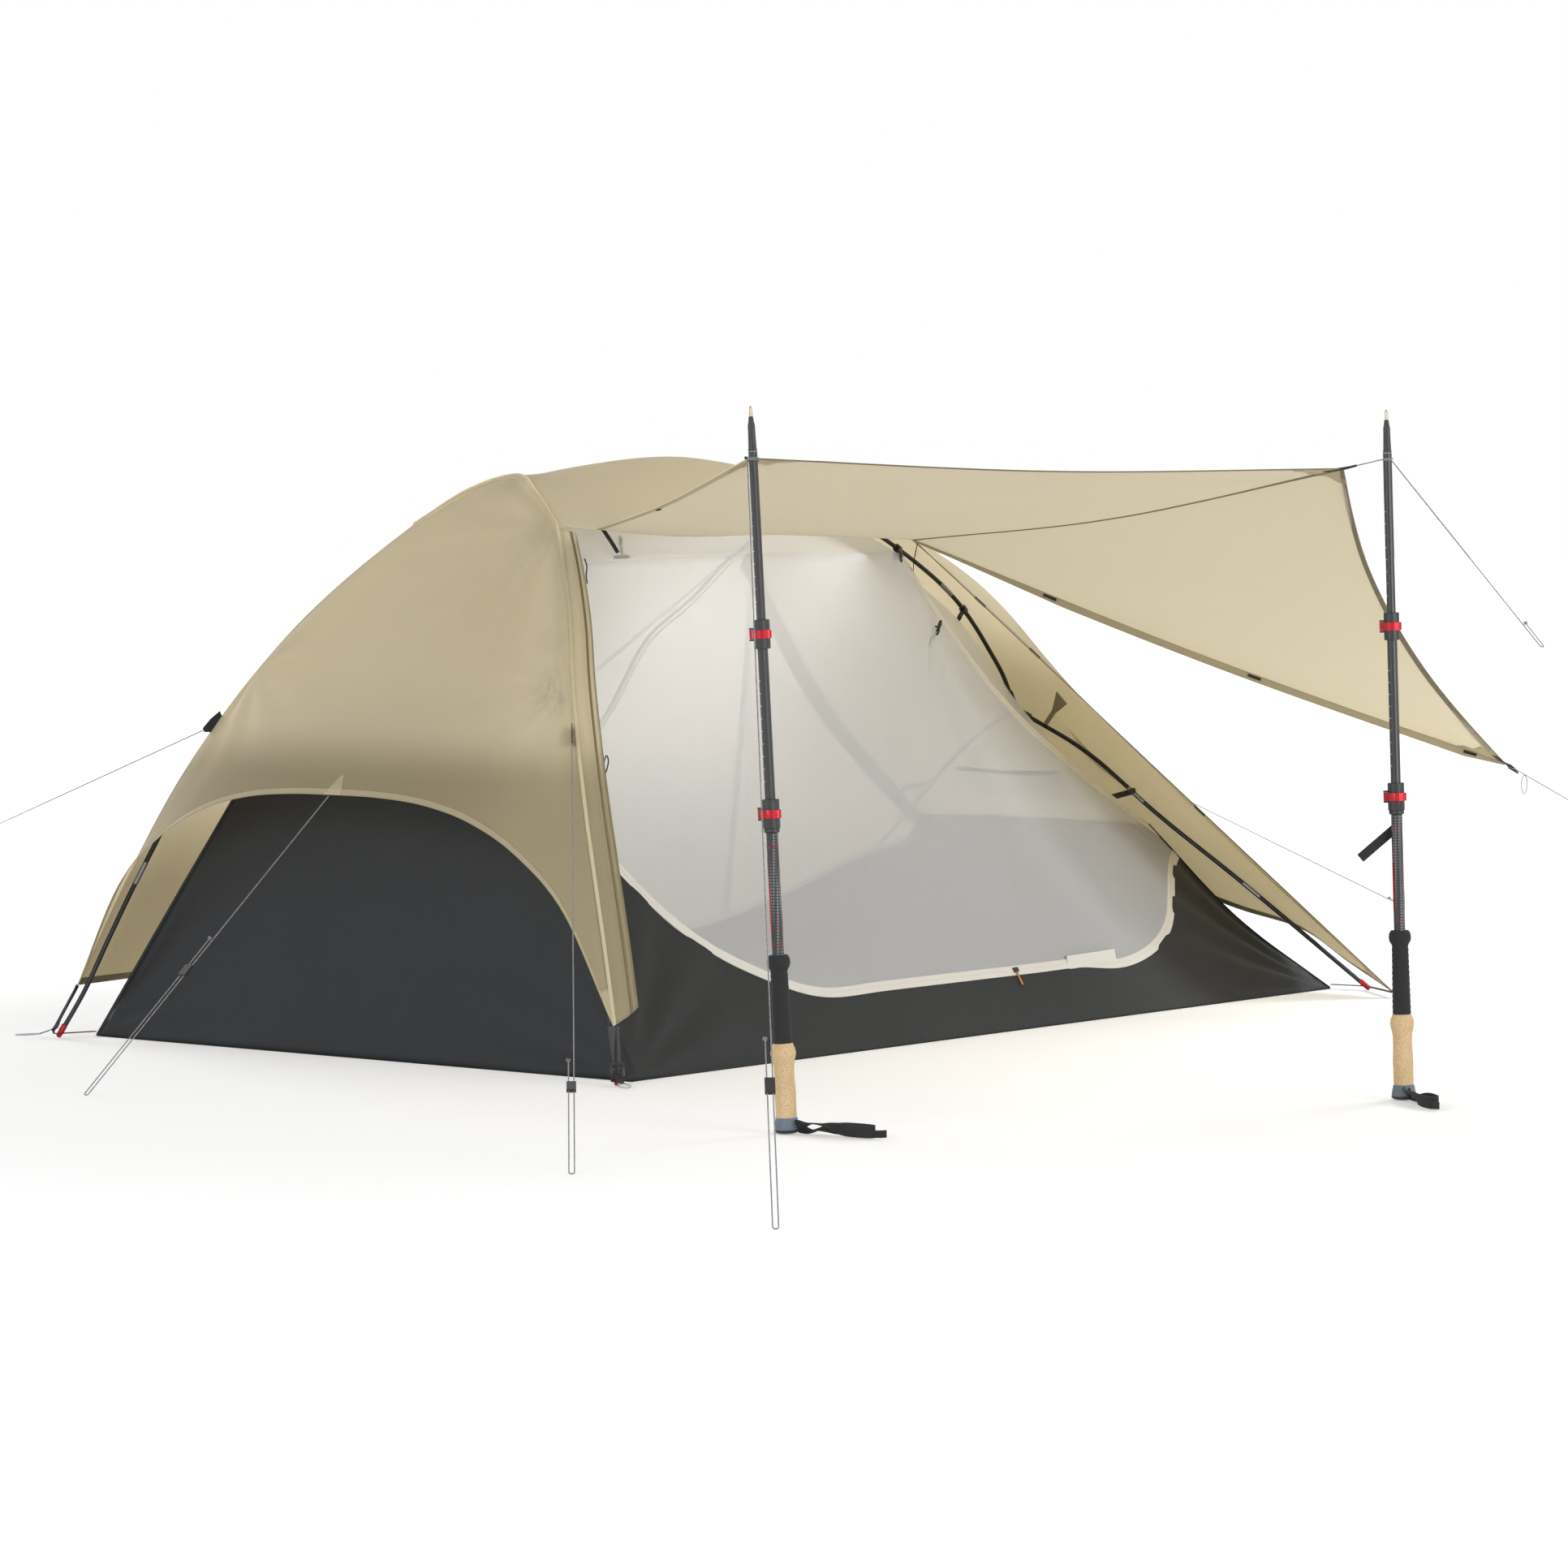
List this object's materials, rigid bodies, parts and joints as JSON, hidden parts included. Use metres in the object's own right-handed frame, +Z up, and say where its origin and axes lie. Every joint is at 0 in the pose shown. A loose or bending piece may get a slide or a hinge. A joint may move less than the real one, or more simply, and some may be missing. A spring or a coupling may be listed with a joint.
{
  "type": "ultralight tent",
  "caption": "Free-standing ultralight tent with an arched pole frame, mesh inner, tub floor and fly sheet, its near door raised as an awning on trekking poles and guy lines.",
  "frame": {"origin": "on the ground under the middle of the tub floor", "axes": "+Z up, +X towards the foot end, -Y out of the raised door"},
  "size_m": [5.6889, 3.3174, 1.1548],
  "materials": {
    "charcoal_cloth": "ripstop nylon, charcoal",
    "mesh_cloth": "fine white insect mesh",
    "tan_cloth": "coated nylon, tan",
    "pole_alloy": "black anodised",
    "black_plastic": "matt black",
    "webbing": "woven webbing, black",
    "cord": "braided grey cord with pale flecks",
    "carbon_tube": "black carbon tube",
    "red_alloy": "red anodised",
    "foam": "closed-cell foam, black",
    "cork": "natural cork",
    "tip_steel": "dull steel",
    "orange_cord": "orange cord"
  },
  "bodies": {
    "tent": {"tub_floor": "charcoal_cloth", "tub_front_wall": "charcoal_cloth", "tub_back_wall": "charcoal_cloth", "tub_head_wall": "charcoal_cloth", "tub_foot_wall": "charcoal_cloth", "door_mesh": "mesh_cloth", "back_mesh": "mesh_cloth", "canopy_mesh": "mesh_cloth", "fly_head": "tan_cloth", "fly_roof": "tan_cloth", "fly_foot": "tan_cloth", "fly_placket": "tan_cloth", "back_vestibule": "tan_cloth", "awning": "tan_cloth", "spine_pole": "pole_alloy", "head_leg_near": "pole_alloy", "head_leg_far": "pole_alloy", "foot_leg_near": "pole_alloy", "foot_leg_far": "pole_alloy", "ridge_pole": "pole_alloy", "head_hub": "black_plastic", "foot_hub": "black_plastic", "corner_strap_head_near": "webbing", "corner_strap_head_far": "webbing", "corner_strap_foot_near": "webbing", "corner_strap_foot_far": "webbing", "guy_head": "cord", "guy_near": "cord", "guy_far": "cord", "guy_foot": "cord", "guy_pole_1": "cord", "guy_pole_2": "cord", "guy_awning": "cord", "trek_1_upper_tube": "carbon_tube", "trek_1_upper_lock": "black_plastic", "trek_1_foam_grip": "foam", "trek_1_cork_grip": "cork", "trek_1_wrist_strap": "webbing", "trek_2_upper_tube": "carbon_tube", "trek_2_upper_lock": "black_plastic", "trek_2_foam_grip": "foam", "trek_2_cork_grip": "cork", "trek_2_wrist_strap": "webbing"},
    "trek_1_middle_section": {"trek_1_middle_tube": "carbon_tube", "trek_1_lower_lock": "black_plastic"},
    "trek_1_lower_section": {"trek_1_lower_tube": "carbon_tube", "trek_1_tip": "tip_steel"},
    "trek_1_upper_lock_lever": {"trek_1_upper_lever": "red_alloy"},
    "trek_1_lower_lock_lever": {"trek_1_lower_lever": "red_alloy"},
    "trek_2_middle_section": {"trek_2_middle_tube": "carbon_tube", "trek_2_lower_lock": "black_plastic"},
    "trek_2_lower_section": {"trek_2_lower_tube": "carbon_tube", "trek_2_tip": "tip_steel"},
    "trek_2_upper_lock_lever": {"trek_2_upper_lever": "red_alloy"},
    "trek_2_lower_lock_lever": {"trek_2_lower_lever": "red_alloy"},
    "tensioner_head": {"tensioner_head": "black_plastic"},
    "tensioner_near": {"tensioner_near": "black_plastic"},
    "tensioner_pole_1": {"tensioner_pole_1": "black_plastic"},
    "door_zip_slider": {"zip_slider": "black_plastic"},
    "door_zip_pull": {"zip_pull": "orange_cord"}
  },
  "joints": [
    {"name": "trek_1_middle_slide", "type": "slide", "parent": "tent", "child": "trek_1_middle_section", "axis": [-0.0311, 0.0398, 0.9987], "range_m": [-0.235, 0.05]},
    {"name": "trek_1_lower_slide", "type": "slide", "parent": "trek_1_middle_section", "child": "trek_1_lower_section", "axis": [-0.0311, 0.0398, 0.9987], "range_m": [-0.235, 0.05]},
    {"name": "trek_1_upper_lever_hinge", "type": "hinge", "parent": "tent", "child": "trek_1_upper_lock_lever", "pos_m": [-1.58208, -1.29266, 0.50838], "axis": [0.0311, -0.0398, -0.9987], "range_deg": [0, 110]},
    {"name": "trek_1_lower_lever_hinge", "type": "hinge", "parent": "trek_1_middle_section", "child": "trek_1_lower_lock_lever", "pos_m": [-1.59061, -1.28226, 0.79307], "axis": [0.0311, -0.0398, -0.9987], "range_deg": [0, 110]},
    {"name": "trek_2_middle_slide", "type": "slide", "parent": "tent", "child": "trek_2_middle_section", "axis": [-0.0199, 0.0251, 0.9995], "range_m": [-0.235, 0.05]},
    {"name": "trek_2_lower_slide", "type": "slide", "parent": "trek_2_middle_section", "child": "trek_2_lower_section", "axis": [-0.0199, 0.0251, 0.9995], "range_m": [-0.235, 0.05]},
    {"name": "trek_2_upper_lever_hinge", "type": "hinge", "parent": "tent", "child": "trek_2_upper_lock_lever", "pos_m": [-0.55636, -1.81713, 0.50887], "axis": [0.0199, -0.0251, -0.9995], "range_deg": [0, 110]},
    {"name": "trek_2_lower_lever_hinge", "type": "hinge", "parent": "trek_2_middle_section", "child": "trek_2_lower_lock_lever", "pos_m": [-0.56169, -1.81091, 0.79375], "axis": [0.0199, -0.0251, -0.9995], "range_deg": [0, 110]},
    {"name": "tensioner_head_slide", "type": "slide", "parent": "tent", "child": "tensioner_head", "axis": [-0.8127, -0.0729, -0.5781], "range_m": [-0.055, 0.25]},
    {"name": "tensioner_near_slide", "type": "slide", "parent": "tent", "child": "tensioner_near", "axis": [-0.7106, -0.6019, -0.3644], "range_m": [-0.055, 0.2]},
    {"name": "tensioner_pole_1_slide", "type": "slide", "parent": "tent", "child": "tensioner_pole_1", "axis": [-0.5542, -0.4734, -0.6847], "range_m": [-0.055, 0.18]},
    {"name": "door_zip_slide", "type": "slide", "parent": "tent", "child": "door_zip_slider", "axis": [0.9999, 0.0089, 0.0093], "range_m": [-0.08, 0.08]},
    {"name": "door_zip_pull_swing", "type": "hinge", "parent": "door_zip_slider", "child": "door_zip_pull", "pos_m": [0.0988, -0.59316, 0.10184], "axis": [0.9999, 0.0089, 0.0093], "range_deg": [-90, 0]}
  ]
}
